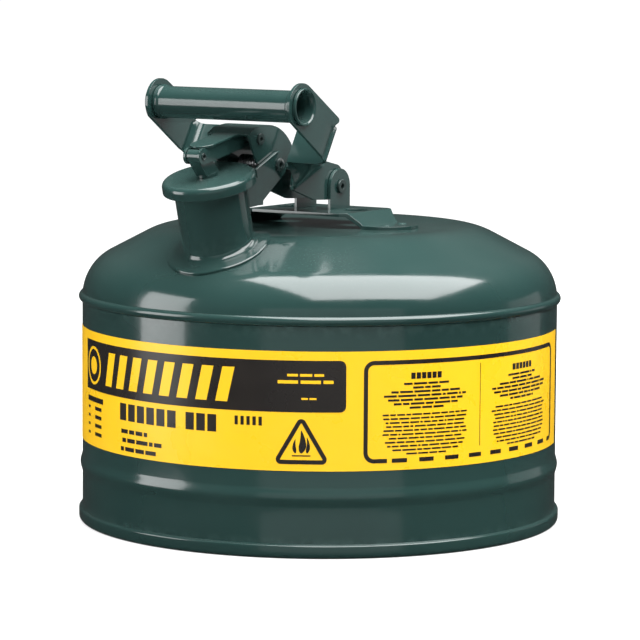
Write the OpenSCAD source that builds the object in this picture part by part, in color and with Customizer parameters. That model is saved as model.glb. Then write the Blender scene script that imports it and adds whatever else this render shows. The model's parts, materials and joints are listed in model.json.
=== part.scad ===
// Steel safety gas can with a self-closing lid and a swinging yoke handle.
// Units are millimetres. +Z is up, -Y is the pouring side, the origin is the
// centre of the can's footprint.

/* [Body] */
// Radius of the drawn steel body
body_r = 147; // [115:1:180]
// Height of the body up to the seam under the dome
seam_z = 139; // [115:1:240]
// Sheet thickness of body, pan and dome
wall = 0.8; // [0.6:0.1:1.2]
// Height of the stiffening rib's centre
rib_z = 36; // [28:1:44]
// Height of the rib
rib_h = 9; // [6:0.5:12]
// How far the rib stands proud of the body
rib_rise = 1.3; // [0.8:0.1:2]
// How far the rolled seams stand proud of the body
bead_rise = 2.2; // [1.5:0.1:3]
// Height of the rolled seam at the foot
chime_h = 8.6; // [6:0.2:12]
// Height of the rolled seam under the dome
bead_h = 6; // [4:0.5:8]
// How far the bottom pan sits above the floor
pan_rise = 7; // [4:0.5:10]

/* [Dome] */
// Height of the dome above its seam
dome_h = 44.5; // [38:0.5:60]
// Radius of the rounded shoulder
shoulder_r = 31; // [24:1:36]
// Slope of the dome between shoulder and flat top, in degrees
dome_slope = 27.7; // [24:0.5:32]
// Radius of the blend into the flat top
crown_r = 45; // [30:1:60]

/* [Label] */
// Lower edge of the label band
label_z = 51.7; // [48:0.5:60]
// Height of the label band
label_h = 70; // [40:1:72]
// Thickness of the label film
label_t = 0.25; // [0.1:0.05:0.4]
// First edge of the band, as an angle about the can
label_from = -141.5; // [-170:0.5:-120]
// Angle that the band covers
label_arc = 164; // [120:1:200]

/* [Spout] */
// Distance of the spout's mouth from the body's side
spout_inset = 28.5; // [26:0.5:40]
// Height of the mouth above the flat top
spout_rise = 31; // [28:0.5:38]
// Forward lean of the spout, in degrees
spout_lean = 15; // [10:0.5:18]
// Outer radius of the spout tube
tube_r = 21.5; // [18:0.25:24]
// Wall of the spout tube
tube_wall = 1.2; // [1:0.1:1.6]
// Radius of the rolled lip at the mouth
lip_r = 1.6; // [1.2:0.1:2]
// How far the welded collar reaches beyond the tube
collar_reach = 9.5; // [6:0.5:12]
// Thickness of the welded collar
collar_t = 1.8; // [1.2:0.1:2.5]
// Length of the flame screens inside the spout
screen_len = 78; // [50:1:100]

/* [Cap] */
// Overhang of the cap beyond the spout tube
cap_over = 6.5; // [5:0.25:8]
// Sheet thickness of the cap
cap_t = 1.2; // [1:0.1:1.5]
// Depth of the cap's rolled rim
cap_depth = 7.4; // [6:0.2:9]
// Thickness of the gasket
gasket_t = 4.6; // [3:0.2:5]
// Radius of the stud that the cap turns on
stud_r = 4; // [3:0.25:5]
// Distance of the cross pin in front of the cap's centre
pin_ahead = 9; // [6:0.5:10]
// Height of the cross pin above the mouth
pin_up = 20.5; // [18:0.5:23]
// Radius of the cross pin
pin_r = 2.2; // [1.6:0.1:2.6]

/* [Lid lever] */
// Distance of the lever's pivot behind the mouth's centre
pivot_back = 47.5; // [45:0.5:52]
// Height of the lever's pivot above the mouth's centre
pivot_up = 10; // [9:0.5:14]
// Radius of the lever's pivot pin
lever_pin_r = 2.8; // [2:0.1:3.2]
// Half width of the hood over the pivot
hood_half = 15; // [13:0.5:16]
// Half width of the arm that reaches to the cap
arm_half = 5.8; // [5.2:0.1:7]
// Half width of the strip on top of the arm
strip_half = 8; // [7:0.25:9]
// Sheet thickness of lever and strip
lever_t = 1.5; // [1.2:0.1:1.6]
// Radius of the hood's curved top
hood_r = 32; // [30:0.5:33]

/* [Handle] */
// Height of the handle's pivot above the flat top
handle_up = 23.5; // [21:0.5:28]
// Radius of the handle's pivot pin
handle_pin_r = 3; // [2.4:0.1:3.6]
// Half length of the grip between the outer faces of its side plates
grip_half = 52; // [48:0.5:62]
// Radius of the grip tube
grip_r = 9.5; // [8:0.25:11]
// Distance of the grip behind the mouth's centre
grip_back = 20.5; // [18:0.5:24]
// Height of the grip above the mouth's centre
grip_up = 46.5; // [45:0.5:60]
// Slope of the side plates, in degrees
plate_slope = 31; // [28:0.5:34]
// Width of the side plates
plate_w = 24; // [22:0.5:28]
// Length of the side plates behind the grip
plate_len = 39.5; // [36:0.5:44]
// Sheet thickness of the yoke
yoke_t = 2; // [1.5:0.1:2.5]
// Half width of the opening in the yoke's web
web_gap = 22; // [21:0.5:26]
// Half width of the yoke's neck
neck_half = 11; // [9:0.5:13]

/* [Handle base] */
// Half length of the raised platform
deck_half = 36; // [32:1:44]
// Half width of the platform
deck_side = 28; // [22:1:32]
// Half length of the base with its feet
foot_half = 68; // [60:1:74]
// Sheet thickness of the base
base_t = 2; // [1.5:0.1:2.5]
// Drop from the pivot to the platform
deck_drop = 14; // [13.5:0.25:16]
// Radius of the round holes in the platform
deck_hole_r = 7.5; // [5:0.25:8]
// Distance of the round holes from the centre
deck_hole_x = 25; // [23:0.5:27]

/* [Hidden] */

$fn = 96;
paint = [0.13, 0.23, 0.22];
yellow = [0.95, 0.75, 0.05];
steel = [0.62, 0.64, 0.66];
brass = [0.72, 0.58, 0.30];
rubber = [0.08, 0.08, 0.08];

gap = 0.4;          // side clearance between sheets that turn past each other
running = 0.05;     // radial clearance of a pin in its bore
seat = 0.1;         // clearance between gasket and lip

top_z = seam_z + dome_h;
mouth_y = -(body_r - spout_inset);
mouth_z = top_z + spout_rise;
cap_r = tube_r + cap_over;
bore_r = tube_r - tube_wall;
cap_top = seat + gasket_t + cap_t;

// pivots and axes, each as [y, z]
lever_at = [mouth_y + pivot_back, mouth_z + pivot_up];
handle_at = [2, top_z + handle_up];
grip_at = [mouth_y + grip_back, mouth_z + grip_up];
deck_z = handle_at[1] - deck_drop;

// Points along an arc about c, from angle a to angle b
function arc(c, r, a, b, n = 12) =
    [for (i = [0:n]) c + r * [cos(a + (b - a) * i / n), sin(a + (b - a) * i / n)]];

// Draws a (y, z) outline as a sheet from x to x + t
module sheet(x, t) {
    translate([x, 0, 0])
        rotate([90, 0, 90])
            linear_extrude(t)
                children();
}

// The same sheet on both sides of the middle plane, its outer face at x
module pair(x, t) {
    sheet(x - t, t) children();
    sheet(-x, t) children();
}

// A round bar across the object at the (y, z) place p
module bar(p, r, half) {
    translate([-half, p[0], p[1]])
        rotate([0, 90, 0])
            cylinder(r = r, h = 2 * half);
}

// A hollow rivet across the object, its heads outside half
module rivet(p, r, half, head_t) {
    difference() {
        union() {
            bar(p, r, half + head_t);
            for (x = [-half - head_t, half])
                translate([x, p[0], p[1]])
                    rotate([0, 90, 0])
                        cylinder(r = r + 1.3, h = head_t);
        }
        bar(p, r * 0.55, half + head_t + 1);
    }
}

// Places children in the spout's own frame: origin at the mouth, Z outward
module at_mouth() {
    translate([0, mouth_y, mouth_z])
        rotate([spout_lean, 0, 0])
            children();
}

// ---------- can ----------

// Solid half section of the dome, grown by d
module dome_section(d) {
    c1 = [body_r - shoulder_r, seam_z];
    t1 = c1 + shoulder_r * [sin(dome_slope), cos(dome_slope)];
    rise = top_z - crown_r + crown_r * cos(dome_slope) - t1[1];
    c2 = [t1[0] - crown_r * sin(dome_slope) - rise / tan(dome_slope), top_z - crown_r];
    steep = 90 - dome_slope;
    polygon(concat(
        [[0, seam_z], [body_r + d, seam_z]],
        arc(c1, shoulder_r + d, 0, steep, 14),
        arc(c2, crown_r + d, steep, 90, 8),
        [[0, top_z + d]]
    ));
}

module dome_solid(d) {
    rotate_extrude($fn = 180) dome_section(d);
}

// Half section of a rib, bulging from radius r
module rib_section(r) {
    big = (rib_h * rib_h / 4 + rib_rise * rib_rise) / (2 * rib_rise);
    intersection() {
        translate([body_r + rib_rise - big, rib_z]) circle(big - (body_r - r));
        translate([r - 2, rib_z - rib_h]) square([rib_rise + 4, 2 * rib_h]);
    }
}

module body_shell() {
    low = chime_h;
    high = seam_z - bead_h / 2;
    color(paint)
        rotate_extrude($fn = 180)
            difference() {
                union() {
                    translate([body_r - wall, low]) square([wall, high - low]);
                    rib_section(body_r);
                }
                union() {
                    translate([body_r - wall - 8, low]) square([8, high - low]);
                    rib_section(body_r - wall);
                }
            }
}

module bottom_pan() {
    edge = body_r + bead_rise;
    roll = bead_rise + wall;
    color(paint)
        rotate_extrude($fn = 180)
            union() {
                translate([0, pan_rise]) square([edge - 2 * roll, wall]);
                translate([edge - 2 * roll - wall, roll]) square([2 * wall, pan_rise + wall - roll]);
                translate([edge - roll, roll]) circle(roll);
                translate([edge - roll - 0.9, 0]) square([1.8, roll]);
                polygon([
                    [edge - 2 * roll, roll], [edge, roll],
                    [body_r + wall, chime_h], [body_r - wall, chime_h]
                ]);
            }
}

module top_dome() {
    edge = body_r + bead_rise;
    roll = bead_h / 2;
    color(paint)
        difference() {
            rotate_extrude($fn = 180)
                difference() {
                    union() {
                        dome_section(0);
                        translate([body_r - roll, seam_z - roll]) square([edge - body_r, bead_h]);
                        translate([edge - roll, seam_z]) circle(roll);
                    }
                    dome_section(-wall);
                    translate([0, seam_z - roll]) square([body_r - wall, roll]);
                }
            at_mouth() translate([0, 0, -2 * spout_rise]) cylinder(r = bore_r, h = 2 * spout_rise);
        }
}

module label_band() {
    color(yellow)
        rotate([0, 0, label_from])
            rotate_extrude(angle = label_arc, $fn = 180)
                translate([body_r, label_z]) square([label_t, label_h]);
}

// ---------- spout ----------

module spout_tube() {
    long = 2 * spout_rise;
    color(paint)
        difference() {
            at_mouth()
                difference() {
                    union() {
                        translate([0, 0, -long]) cylinder(r = tube_r, h = long - lip_r);
                        rotate_extrude() translate([tube_r - tube_wall + lip_r, -lip_r]) circle(lip_r);
                    }
                    translate([0, 0, -long - 1]) cylinder(r = bore_r, h = long + 2);
                }
            dome_solid(0);
        }
}

module spout_collar() {
    color(paint)
        difference() {
            intersection() {
                dome_solid(collar_t);
                at_mouth() translate([0, 0, -2 * spout_rise]) cylinder(r = tube_r + collar_reach, h = 2 * spout_rise);
            }
            dome_solid(0);
            at_mouth() translate([0, 0, -2 * spout_rise]) cylinder(r = tube_r, h = 2 * spout_rise);
        }
}

// A closed-ended basket of fine mesh, shown as a thin sheet
module basket(r, len, t) {
    difference() {
        translate([0, 0, -len]) cylinder(r = r, h = len - 4);
        translate([0, 0, t - len]) cylinder(r = r - t, h = len);
    }
}

module outer_screen() {
    color(brass) at_mouth() basket(bore_r - 0.6, screen_len, 0.4);
}

module inner_screen() {
    color(brass) at_mouth() basket(bore_r - 2, screen_len - 3, 0.4);
}

module screen_ring() {
    color(steel)
        at_mouth()
            translate([0, 0, -4])
                difference() {
                    cylinder(r = bore_r, h = 2);
                    translate([0, 0, -1]) cylinder(r = bore_r - 3, h = 4);
                }
}

// ---------- bracket and pivot on the spout ----------

ear_in = hood_half + gap;
ear_t = 2;
ear_r = 8;

// Outline of one ear, from the pivot to the back of the tube
module ear_outline() {
    difference() {
        union() {
            translate(lever_at) circle(ear_r);
            polygon([
                lever_at + [-3.4, 7.2], lever_at + [-24.3, -1.6], lever_at + [-23, -6.6],
                lever_at + [-36, -10], lever_at + [-34, -24], lever_at + [-21.4, -23.1],
                lever_at + [-16.5, -23.1], lever_at + [-16.5, -20.6], lever_at + [5, -6.2]
            ]);
        }
        translate(lever_at) circle(lever_pin_r);
    }
}

module spout_bracket() {
    color(paint)
        difference() {
            union() {
                pair(ear_in + ear_t, ear_t) ear_outline();
                at_mouth() translate([-ear_in, tube_r - 1, -17]) cube([2 * ear_in, 3, 13]);
            }
            at_mouth() translate([0, 0, -40]) cylinder(r = tube_r, h = 60);
        }
}

module lever_pin() {
    color(steel) rivet(lever_at, lever_pin_r, ear_in + ear_t, 1.5);
}

module lid_spring() {
    wire = 0.9;
    coil = lever_pin_r + wire + 0.9;
    turns = 9;
    pitch = 2 * wire + 0.25;
    start = -(turns - 1) / 2 * pitch;
    color(steel) {
        for (i = [0:turns - 1])
            translate([start + i * pitch, lever_at[0], lever_at[1]])
                rotate([0, 90, 0])
                    rotate_extrude($fn = 48) translate([coil, 0]) circle(wire, $fn = 24);
        // legs beside the end turns: one under the hood's rivet, one on the bracket's cross plate
        translate([start - pitch, lever_at[0] - coil * 0.3, lever_at[1] + coil * 0.95])
            rotate([63, 0, 0]) cylinder(r = wire, h = 19, $fn = 24);
        translate([pitch - start, lever_at[0] - coil * 0.2, lever_at[1] - coil * 0.98])
            rotate([105, 0, 0]) cylinder(r = wire, h = 21.5, $fn = 24);
    }
}

// ---------- lid lever ----------

stud_pin = [
    mouth_y - pin_ahead * cos(spout_lean) - pin_up * sin(spout_lean),
    mouth_z - pin_ahead * sin(spout_lean) + pin_up * cos(spout_lean)
];
hood_c = lever_at + [-9, -8];
arm_start = stud_pin + [-1, 4];
arm_end = lever_at + [-18, 20.5];
arm_dir = (arm_end - arm_start) / norm(arm_end - arm_start);
lug_r = pin_r + 1.7;
roof_start = arm_start + (lug_r + 0.5) * arm_dir;
rivet_at = lever_at + [-16.6, 16];

// Outline of one side of the hood
module hood_outline() {
    difference() {
        union() {
            polygon(concat(
                [lever_at + [-29, 19], lever_at + [-22, 22.6]],
                arc(hood_c, hood_r, 98, 28),
                [lever_at + [7.5, -3], lever_at + [-4, -6], lever_at + [-20, 2]]
            ));
            translate(lever_at) circle(ear_r - 0.5);
        }
        translate(lever_at) circle(lever_pin_r + running);
        translate(rivet_at) circle(pin_r);
    }
}

// Outline of one side of the arm, with the eye for the cap's pin
module arm_outline() {
    difference() {
        union() {
            polygon([
                stud_pin + [-4, 3], arm_start, arm_end, lever_at + [-11, 21.5],
                lever_at + [-11, 12.5], lever_at + [-46, 5.5], stud_pin + [2, -4.5]
            ]);
            translate(stud_pin) circle(4.8);
        }
        translate(stud_pin) circle(pin_r);
        translate(rivet_at) circle(pin_r);
    }
}

// A strip of thickness t laid below the outline points p
module strip_below(p, t) {
    polygon(concat(p, [for (i = [len(p) - 1:-1:0]) p[i] - [0, t]]));
}

module lid_lever() {
    color(paint) {
        pair(arm_half, lever_t) arm_outline();
        sheet(-arm_half, 2 * arm_half) strip_below([roof_start, arm_end], lever_t);
        pair(hood_half, lever_t) hood_outline();
        sheet(-hood_half, 2 * hood_half)
            polygon(concat(
                [lever_at + [-29, 19], lever_at + [-22, 22.6]],
                arc(hood_c, hood_r, 98, 28),
                arc(hood_c, hood_r - lever_t, 28, 98),
                [lever_at + [-22, 21.1], lever_at + [-28, 18]]
            ));
    }
}

module lever_strip() {
    slope = atan2(arm_end[1] - arm_start[1], arm_end[0] - arm_start[0]);
    long = norm(arm_end - arm_start);
    color(paint)
        translate([0, arm_start[0], arm_start[1]])
            rotate([slope, 0, 0])
                difference() {
                    union() {
                        translate([-strip_half, 9, 0]) cube([2 * strip_half, long - 20, lever_t]);
                        translate([0, 9, 0]) cylinder(r = strip_half, h = lever_t);
                    }
                    translate([-strip_half, -strip_half, -1]) cube([2 * strip_half, strip_half, lever_t + 2]);
                }
}

module hood_rivet() {
    color(steel) rivet(rivet_at, pin_r, hood_half, 1);
}

module cap_pin() {
    color(steel)
        difference() {
            bar(stud_pin, pin_r, arm_half + 0.6);
            bar(stud_pin, pin_r * 0.55, arm_half + 2);
        }
}

// ---------- cap ----------

lug_half = arm_half - lever_t - gap;

module cap_stud() {
    color(steel)
        at_mouth() {
            translate([0, 0, -1.6]) cylinder(r = stud_r + 2.5, h = 1.8);
            cylinder(r = stud_r, h = cap_top + 1);
            translate([0, 0, cap_top + 0.2]) cylinder(r = stud_r + 2.5, h = 1.5);
            difference() {
                sheet(-lug_half, 2 * lug_half)
                    union() {
                        polygon([
                            [-stud_r - 2, cap_top + 1], [stud_r + 2, cap_top + 1],
                            [3 - pin_ahead / 2, pin_up], [-pin_ahead, pin_up + lug_r - 0.5],
                            [-pin_ahead - lug_r, pin_up]
                        ]);
                        translate([-pin_ahead, pin_up]) circle(lug_r);
                    }
                translate([-arm_half, -pin_ahead, pin_up]) rotate([0, 90, 0]) cylinder(r = pin_r, h = 2 * arm_half);
            }
        }
}

module cap_disc() {
    round_r = 3.4;
    low = cap_top - cap_depth;
    color(paint)
        at_mouth()
            rotate_extrude()
                difference() {
                    union() {
                        translate([0, low]) square([cap_r - round_r, cap_depth]);
                        translate([0, low]) square([cap_r, cap_depth - round_r]);
                        translate([cap_r - round_r, cap_top - round_r]) circle(round_r);
                    }
                    translate([0, low - 1]) square([cap_r - round_r, cap_depth - cap_t + 1]);
                    translate([0, low - 1]) square([cap_r - cap_t, cap_depth - round_r + 1]);
                    translate([cap_r - round_r, cap_top - round_r]) circle(round_r - cap_t);
                    translate([0, low]) square([stud_r + running, cap_depth + 1]);
                }
}

module cap_gasket() {
    color(rubber)
        at_mouth()
            translate([0, 0, seat])
                difference() {
                    cylinder(r = tube_r + 3, h = gasket_t);
                    translate([0, 0, -1]) cylinder(r = bore_r - 5, h = gasket_t + 2);
                }
}

module gasket_retainer() {
    color(steel)
        at_mouth()
            translate([0, 0, seat + 0.3])
                difference() {
                    cylinder(r = bore_r - 5, h = gasket_t - 0.3);
                    translate([0, 0, -1]) cylinder(r = stud_r + running, h = gasket_t + 2);
                }
}

// ---------- handle base ----------

base_ear = neck_half + gap;

// Half section of the base along X: platform, step and foot
module base_section() {
    step_in = deck_half + 8;
    polygon([
        [0, deck_z], [deck_half, deck_z], [step_in, top_z + base_t], [foot_half, top_z + base_t],
        [foot_half, top_z], [step_in - base_t / 2, top_z], [deck_half - base_t / 2, deck_z - base_t],
        [0, deck_z - base_t]
    ]);
}

// Plan of the base: a wide middle with narrower rounded feet
module base_plan() {
    union() {
        polygon([
            [-deck_half - 6, -deck_side + 8], [-deck_half + 4, -deck_side], [deck_half - 4, -deck_side],
            [deck_half + 6, -deck_side + 8], [deck_half + 6, deck_side - 8], [deck_half - 4, deck_side],
            [-deck_half + 4, deck_side], [-deck_half - 6, deck_side - 8]
        ]);
        for (s = [-1, 1])
            translate([s * (foot_half - 20), 0]) circle(20);
        translate([20 - foot_half, -20]) square([2 * foot_half - 40, 40]);
    }
}

module handle_base() {
    color(paint)
        difference() {
            union() {
                intersection() {
                    for (s = [0, 1])
                        mirror([s, 0, 0])
                            translate([0, 40, 0]) rotate([90, 0, 0]) linear_extrude(80) base_section();
                    linear_extrude(top_z + 200) base_plan();
                }
                pair(base_ear + base_t, base_t)
                    union() {
                        translate(handle_at) circle(11);
                        translate([handle_at[0] - 11, deck_z - base_t / 2]) square([22, handle_at[1] - deck_z + 1]);
                    }
            }
            bar(handle_at, handle_pin_r + running, 40);
            for (s = [-1, 1])
                translate([s * deck_hole_x, 2, deck_z - 2 * base_t]) cylinder(r = deck_hole_r, h = 3 * base_t);
        }
}

module base_welds() {
    color(paint)
        for (sx = [-1, 1], sy = [-1, 1])
            translate([sx * (foot_half - 14), sy * 9, top_z + base_t]) cylinder(r1 = 3.2, r2 = 2, h = 0.8);
}

module handle_pin() {
    color(steel) rivet(handle_at, handle_pin_r, base_ear + base_t + 0.2, 1.6);
}

// ---------- handle ----------

along = [cos(plate_slope), -sin(plate_slope)];
across = [sin(plate_slope), cos(plate_slope)];
web_low = grip_at + plate_len * along - (plate_w / 2 + 4) * across;
neck_top = handle_at + [-12, 16];
neck_front = handle_at + [-50, 1];
neck_under = handle_at + [-25, -7];
fold_low = web_low + [9, -10.5];

// Side plate: a round end at the grip and a straight strip behind it
module plate_outline() {
    difference() {
        union() {
            translate(grip_at) circle(14);
            polygon([
                grip_at + plate_w / 2 * across, grip_at + plate_len * along + plate_w / 2 * across,
                grip_at + plate_len * along - plate_w / 2 * across, grip_at - plate_w / 2 * across
            ]);
        }
        translate(grip_at) circle(grip_r);
    }
}

// Neck wall from the folded panel down to the pivot
module neck_outline() {
    difference() {
        union() {
            translate(handle_at) circle(10);
            polygon([
                neck_top, neck_front + [3, 13], neck_front, neck_under, handle_at + [-6, -8],
                handle_at + [8, 6], handle_at + [2, 13]
            ]);
        }
        translate(handle_at) circle(handle_pin_r + running);
    }
}

// A small ball at (x, y, z), the corner of a folded panel
module corner(x, p) {
    translate([x, p[0], p[1]]) sphere(d = yoke_t, $fn = 24);
}

module handle_yoke() {
    inner = grip_half - yoke_t / 2;
    wall_x = neck_half - yoke_t / 2;
    color(paint) {
        pair(grip_half, yoke_t) plate_outline();
        // web across the rear ends of the side plates, open in the middle
        pair(grip_half, grip_half - web_gap)
            polygon([
                grip_at + plate_len * along + (plate_w / 2 - 4) * across,
                web_low, web_low - yoke_t * along,
                grip_at + (plate_len - yoke_t) * along + (plate_w / 2 - 4) * across
            ]);
        // folded panels that run in and back to the neck
        for (s = [-1, 1]) {
            hull() {
                corner(s * inner, web_low);
                corner(s * (web_gap + 1), web_low);
                corner(s * 19.5, fold_low);
            }
            hull() {
                corner(s * inner, web_low);
                corner(s * 19.5, fold_low);
                corner(s * wall_x, neck_front);
                corner(s * wall_x, neck_top);
            }
        }
        pair(neck_half, yoke_t) neck_outline();
        // sheet that closes the neck between its walls
        sheet(-neck_half, 2 * neck_half)
            polygon([
                neck_top, neck_front + [3, 13], neck_front + [3, 13 - yoke_t], neck_top - [0, yoke_t]
            ]);
    }
}

module grip_tube() {
    tube_half = grip_half + 2.5;
    inner_r = grip_r - 1.5;
    color(paint)
        translate([0, grip_at[0], grip_at[1]])
            rotate([0, 90, 0])
                difference() {
                    union() {
                        translate([0, 0, -tube_half]) cylinder(r = grip_r, h = 2 * tube_half);
                        for (s = [-1, 1])
                            translate([0, 0, s * (grip_half + 1.25)])
                                rotate_extrude() translate([grip_r + 0.4, 0]) circle(1.25);
                        for (s = [-1, 1])
                            translate([0, 0, s * (grip_half - yoke_t - 2)])
                                rotate_extrude() translate([grip_r - 0.6, 0]) circle(1.4);
                    }
                    translate([0, 0, -tube_half - 1]) cylinder(r = inner_r, h = 2 * tube_half + 2);
                    for (s = [0, 1])
                        mirror([0, 0, s])
                            translate([0, 0, tube_half - 4]) cylinder(r1 = inner_r, r2 = grip_r - 0.1, h = 4.01);
                }
}

body_shell();
bottom_pan();
top_dome();
label_band();
spout_tube();
spout_collar();
outer_screen();
inner_screen();
screen_ring();
spout_bracket();
lever_pin();
lid_spring();
lid_lever();
lever_strip();
hood_rivet();
cap_stud();
cap_pin();
cap_disc();
cap_gasket();
gasket_retainer();
handle_base();
base_welds();
handle_pin();
handle_yoke();
grip_tube();
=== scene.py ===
import json
from math import atan2, cos, pi, radians, sin, sqrt, tan

import bmesh
import bpy
import numpy as np
from mathutils import Euler, Matrix, Vector


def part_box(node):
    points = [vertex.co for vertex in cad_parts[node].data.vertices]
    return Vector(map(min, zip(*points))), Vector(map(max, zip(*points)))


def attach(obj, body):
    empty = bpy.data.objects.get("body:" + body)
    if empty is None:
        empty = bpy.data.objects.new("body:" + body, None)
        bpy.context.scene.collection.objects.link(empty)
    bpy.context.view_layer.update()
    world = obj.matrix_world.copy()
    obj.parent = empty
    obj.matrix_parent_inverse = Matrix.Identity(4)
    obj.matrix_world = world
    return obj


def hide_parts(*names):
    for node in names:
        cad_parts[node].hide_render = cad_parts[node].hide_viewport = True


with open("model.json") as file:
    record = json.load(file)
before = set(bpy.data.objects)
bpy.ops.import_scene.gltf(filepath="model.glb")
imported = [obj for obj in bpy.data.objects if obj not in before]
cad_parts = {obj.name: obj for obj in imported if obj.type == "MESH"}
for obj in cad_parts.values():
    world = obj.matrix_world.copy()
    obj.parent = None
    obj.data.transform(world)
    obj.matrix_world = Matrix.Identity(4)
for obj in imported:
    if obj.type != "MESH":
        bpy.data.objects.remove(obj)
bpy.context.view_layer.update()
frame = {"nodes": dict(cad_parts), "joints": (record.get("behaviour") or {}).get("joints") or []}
nodes = frame["nodes"]
mm = 0.001


# ---------- body shell ----------
# The body is one sheet of drawn steel with a rolled stiffening rib low on the wall.
# It is dipped in green enamel, which flows level and hardens with a faint orange peel.

label_lo, label_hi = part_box("label_band")
label_t = 0.25 * mm
body_r = -label_lo.y - label_t
sheet_t = 0.8 * mm
seam_lo, seam_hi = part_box("body_shell")
rib_z = 36 * mm
rib_half = 6.2 * mm
rib_rise = 1.3 * mm


def grid(points, around=False):
    """Vertices and four-sided faces of a grid of points; around joins the last row to the first.
    A face's normal is the row direction crossed with the column direction."""
    points = np.asarray(points, float)
    nu, nv = points.shape[:2]
    i = np.arange(nu if around else nu - 1)[:, None]
    j = np.arange(nv - 1)[None, :]
    k = (i + 1) % nu
    faces = np.stack([i * nv + j, k * nv + j, k * nv + j + 1, i * nv + j + 1], -1)
    return points.reshape(-1, 3), faces.reshape(-1, 4)


def make(name, grids, closed=True):
    """One mesh object from several grids. Points that meet are merged, and a closed form faces outward."""
    verts, faces, start = [], [], 0
    for v, f in grids:
        verts.append(v)
        faces.append(f + start)
        start += len(v)
    mesh = bpy.data.meshes.new(name)
    mesh.from_pydata(np.concatenate(verts).tolist(), [], np.concatenate(faces).tolist())
    bm = bmesh.new()
    bm.from_mesh(mesh)
    bmesh.ops.remove_doubles(bm, verts=bm.verts, dist=2e-6)
    if closed:
        bmesh.ops.recalc_face_normals(bm, faces=bm.faces)
    bm.to_mesh(mesh)
    bm.free()
    obj = bpy.data.objects.new(name, mesh)
    bpy.context.scene.collection.objects.link(obj)
    return soften(obj)


def soften(obj, angle=32):
    """Smooth shading everywhere but on edges sharper than the angle."""
    obj.data.polygons.foreach_set("use_smooth", np.ones(len(obj.data.polygons), bool))
    obj.data.set_sharp_from_angle(angle=radians(angle))
    return obj


def bake(obj, angle=32):
    """Puts the result of the object's modifiers into its mesh."""
    bpy.context.view_layer.update()
    done = bpy.data.meshes.new_from_object(obj.evaluated_get(bpy.context.evaluated_depsgraph_get()))
    obj.modifiers.clear()
    obj.data = done
    return soften(obj, angle)


def rounded(corners, n=6):
    """A closed outline from (a, b, radius) corners: each corner is cut back along both its sides
    by radius times the tangent of half its turn, and joined by an arc of that radius."""
    pts = np.array([c[:2] for c in corners], float)
    out = []
    for k in range(len(pts)):
        p, r = pts[k], corners[k][2]
        a, b = pts[k - 1] - p, pts[(k + 1) % len(pts)] - p
        la, lb = np.linalg.norm(a), np.linalg.norm(b)
        a, b = a / la, b / lb
        half = np.arccos(np.clip(a @ b, -1, 1)) / 2
        if r <= 0 or half > pi / 2 - 0.02:
            out.append(p[None])
            continue
        r = min(r, 0.49 * min(la, lb) * tan(half))
        mid = p + (a + b) / np.linalg.norm(a + b) * r / sin(half)
        s, e = p + a * r / tan(half) - mid, p + b * r / tan(half) - mid
        t0 = atan2(s[1], s[0])
        turn = (atan2(e[1], e[0]) - t0 + pi) % (2 * pi) - pi
        t = t0 + turn * np.linspace(0, 1, n)
        out.append(mid + r * np.stack([np.cos(t), np.sin(t)], 1))
    return np.concatenate(out)


def lathe(outline, steps=256, place=None):
    """A closed outline of (radius, height) points turned about the axis:
    x = r cos t, y = r sin t, z = h, then moved by the place matrix."""
    outline = np.asarray(outline, float)
    outline = np.concatenate([outline, outline[:1]])
    t = np.linspace(0, 2 * pi, steps, endpoint=False)[:, None]
    r, h = outline[None, :, 0], outline[None, :, 1]
    points = np.stack([r * np.cos(t), r * np.sin(t), h + 0 * t], -1)
    if place is not None:
        m = np.array(place)
        points = points @ m[:3, :3].T + m[:3, 3]
    return grid(points, around=True)


def group(name, inputs, outputs):
    """An empty shader group with its input and output nodes; an input is (name, kind, value)."""
    g = bpy.data.node_groups.new(name, "ShaderNodeTree")
    for label, kind, value in inputs:
        socket = g.interface.new_socket(label, in_out="INPUT", socket_type=kind)
        if value is not None:
            socket.default_value = value
    for label, kind in outputs:
        g.interface.new_socket(label, in_out="OUTPUT", socket_type=kind)
    return g, g.nodes.new("NodeGroupInput"), g.nodes.new("NodeGroupOutput")


def math(tree, operation, a, b=None, clamp=False):
    """A math node on two sockets or numbers; returns its output."""
    n = tree.nodes.new("ShaderNodeMath")
    n.operation = operation
    n.use_clamp = clamp
    for k, value in enumerate((a, b)):
        if isinstance(value, (int, float)):
            n.inputs[k].default_value = value
        elif value is not None:
            tree.links.new(value, n.inputs[k])
    return n.outputs[0]


def noise(tree, vector, scale, detail=2.0, rough=0.5):
    """A noise texture's value at a vector socket; scale is a number or a socket."""
    n = tree.nodes.new("ShaderNodeTexNoise")
    n.inputs["Detail"].default_value = detail
    n.inputs["Roughness"].default_value = rough
    tree.links.new(vector, n.inputs["Vector"])
    if isinstance(scale, (int, float)):
        n.inputs["Scale"].default_value = scale
    else:
        tree.links.new(scale, n.inputs["Scale"])
    return n.outputs["Fac"]


def span(tree, value, low, high, to_low=0.0, to_high=1.0):
    """Maps low..high smoothly to to_low..to_high and holds the ends."""
    n = tree.nodes.new("ShaderNodeMapRange")
    n.interpolation_type = "SMOOTHSTEP"
    for k, v in zip(("From Min", "From Max", "To Min", "To Max"), (low, high, to_low, to_high)):
        if isinstance(v, (int, float)):
            n.inputs[k].default_value = v
        else:
            tree.links.new(v, n.inputs[k])
    tree.links.new(value, n.inputs["Value"])
    return n.outputs["Result"]


def blend_colors(tree, factor, a, b):
    """A colour between a and b; each is a colour or a socket."""
    n = tree.nodes.new("ShaderNodeMix")
    n.data_type = "RGBA"
    tree.links.new(factor, n.inputs["Factor"])
    for socket, value in ((n.inputs[6], a), (n.inputs[7], b)):
        if isinstance(value, tuple):
            socket.default_value = (*value, 1)
        else:
            tree.links.new(value, socket)
    return n.outputs[2]


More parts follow.
